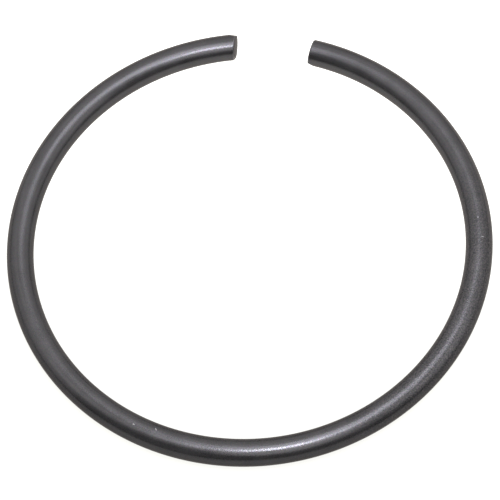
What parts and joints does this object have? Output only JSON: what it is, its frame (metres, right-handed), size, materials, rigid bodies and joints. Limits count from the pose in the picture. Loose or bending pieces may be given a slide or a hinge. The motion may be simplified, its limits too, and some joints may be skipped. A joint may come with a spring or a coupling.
{
  "type": "retaining ring",
  "caption": "Open retaining ring bent from round spring wire, plain at both ends, that snaps into a groove on a shaft or in a bore.",
  "frame": {"origin": "centre of the ring, in the middle plane of its wire", "axes": "+Z along the ring's axis, up as the ring lies flat; +Y from the centre through the middle of the gap; +X to the right, seen from above with the gap at the top"},
  "size_m": [0.0574, 0.0571, 0.0032],
  "materials": {
    "spring_wire": "drawn spring steel wire with a dark grey oiled phosphate or oxide skin, satin, with faint lengthwise drawing marks"
  },
  "bodies": {
    "root": {"retaining_ring": "spring_wire"}
  },
  "joints": []
}
